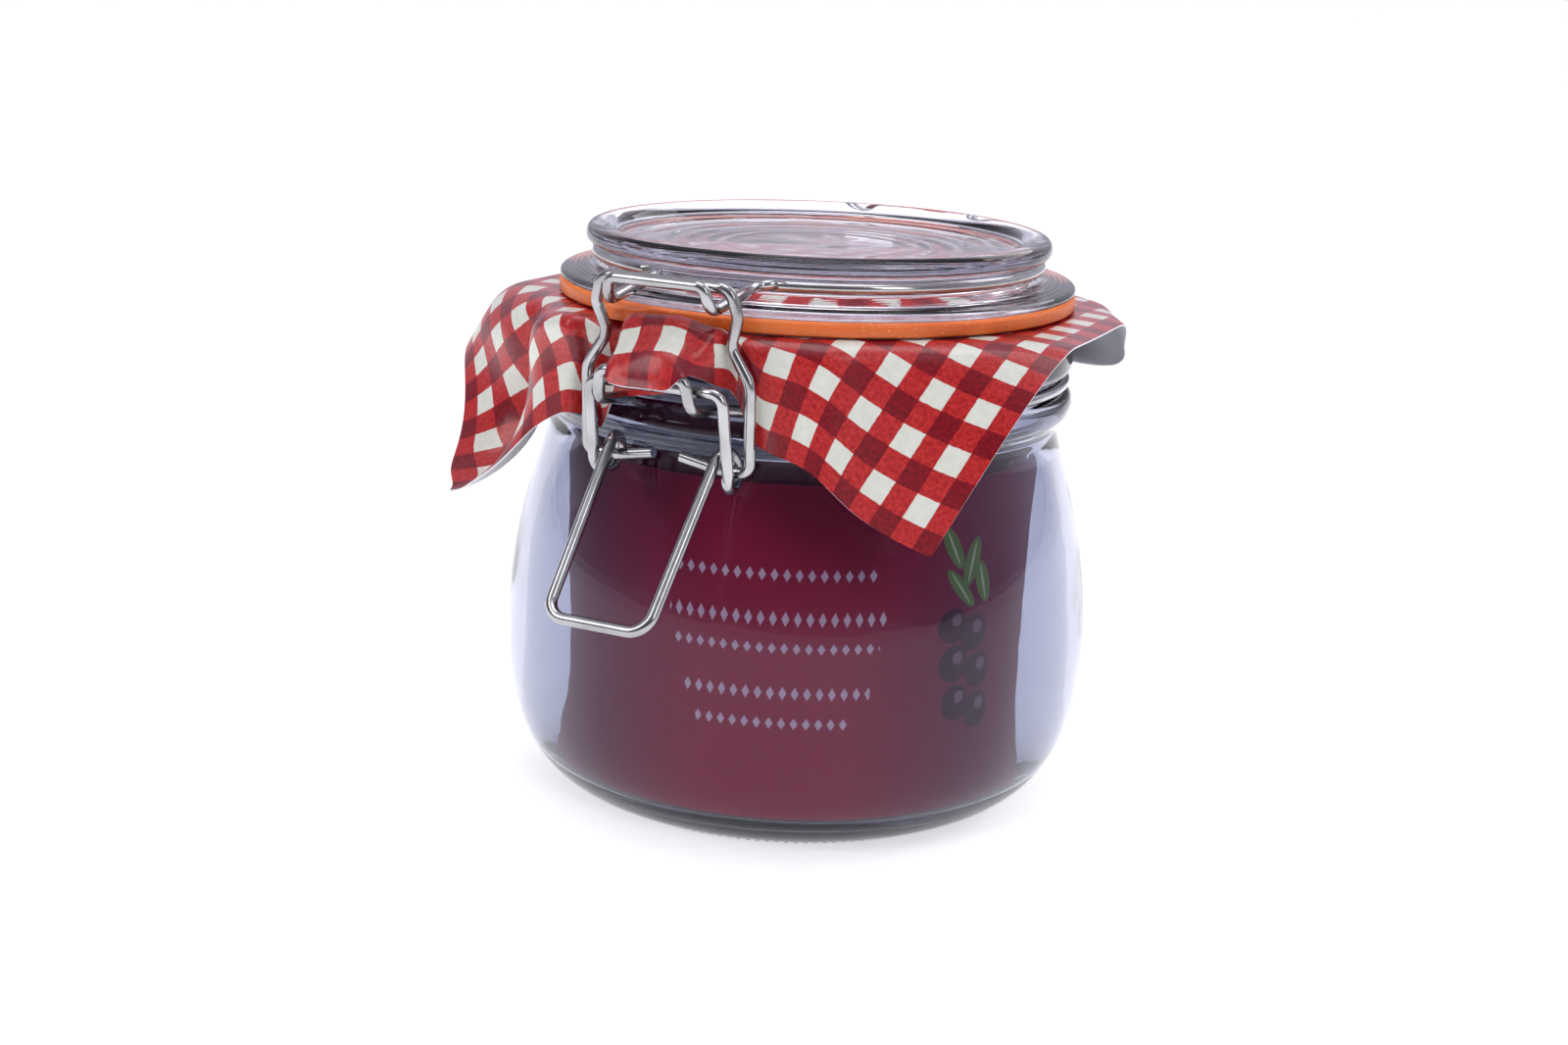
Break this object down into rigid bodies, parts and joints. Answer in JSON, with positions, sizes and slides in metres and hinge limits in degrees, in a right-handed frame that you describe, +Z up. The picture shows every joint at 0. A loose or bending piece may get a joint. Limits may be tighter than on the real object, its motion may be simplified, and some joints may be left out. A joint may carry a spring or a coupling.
{
  "type": "clip top jar",
  "caption": "Round glass jar with a glass lid on a rubber seal held by a wire bail clip, with a gingham paper cover and a rolled card sleeve inside",
  "frame": {"origin": "the middle of the jar's flat underside, on the jar's axis", "axes": "+Z up along the jar's axis, the clip and its lever face -Y, the hinge is at +Y, +X is to the right seen from the clip"},
  "size_m": [0.1209, 0.1319, 0.1043],
  "materials": {
    "jar_glass": "clear pressed glass with a faint lavender tint, smooth outside and slightly wavy",
    "lid_glass": "clear pressed glass, smooth rounded rim and fine ridges at the side",
    "seal_rubber": "orange translucent rubber, satin, faint speckle",
    "gingham_paper": "glossy printed paper, red and white gingham, mottled, plain white underside",
    "printed_card": "satin card printed deep burgundy with thin pale ornament rows",
    "steel_wire": "drawn steel wire, bright with light scratches and duller bends"
  },
  "bodies": {
    "root": {"jar": "jar_glass", "card_insert": "printed_card", "paper_cover": "gingham_paper", "seal": "seal_rubber", "lid": "lid_glass", "lid_hoop": "steel_wire", "neck_hoop": "steel_wire"},
    "lever": {"lever": "steel_wire"},
    "bail": {"bail": "steel_wire"}
  },
  "joints": [
    {"name": "lever_hinge", "type": "hinge", "parent": "root", "child": "lever", "pos_m": [0.0003, -0.0555, 0.0834], "axis": [-1, 0, 0], "range_deg": [0, 100]},
    {"name": "bail_hinge", "type": "hinge", "parent": "lever", "child": "bail", "pos_m": [0, -0.0502, 0.0698], "axis": [1, 0, 0], "range_deg": [0, 53]}
  ],
  "couplings": [
    {"joint": "bail_hinge", "follows": "lever_hinge", "ratio": 0.517}
  ]
}
